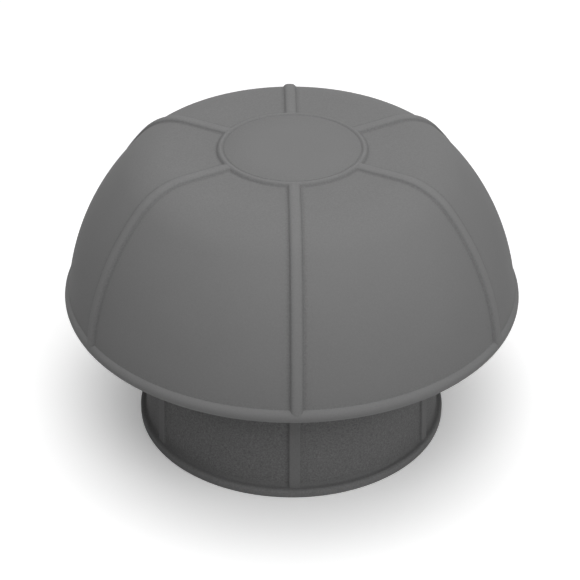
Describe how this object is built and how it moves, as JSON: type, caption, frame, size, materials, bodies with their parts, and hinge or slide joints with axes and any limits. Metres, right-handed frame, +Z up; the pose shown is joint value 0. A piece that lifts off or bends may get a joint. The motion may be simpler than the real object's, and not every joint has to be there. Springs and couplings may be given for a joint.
{
  "type": "vent cap",
  "caption": "Round ribbed hood over a short sleeve that slides over the open top of a waste-vent pipe and keeps rain out while air leaves under the rim.",
  "frame": {"origin": "centre of the sleeve's lower end face, which is the bottom centre of the whole cap", "axes": "+Z up along the pipe's axis, from the sleeve's mouth to the crown; -Y is the side with a rib facing the viewer, and ribs and webs repeat every 60 degrees from it"},
  "size_m": [0.176, 0.176, 0.1181],
  "materials": {
    "grey_plastic": "matt, finely grained moulded polypropylene in mid-dark neutral grey"
  },
  "bodies": {
    "root": {"vent_cap": "grey_plastic"}
  },
  "joints": []
}
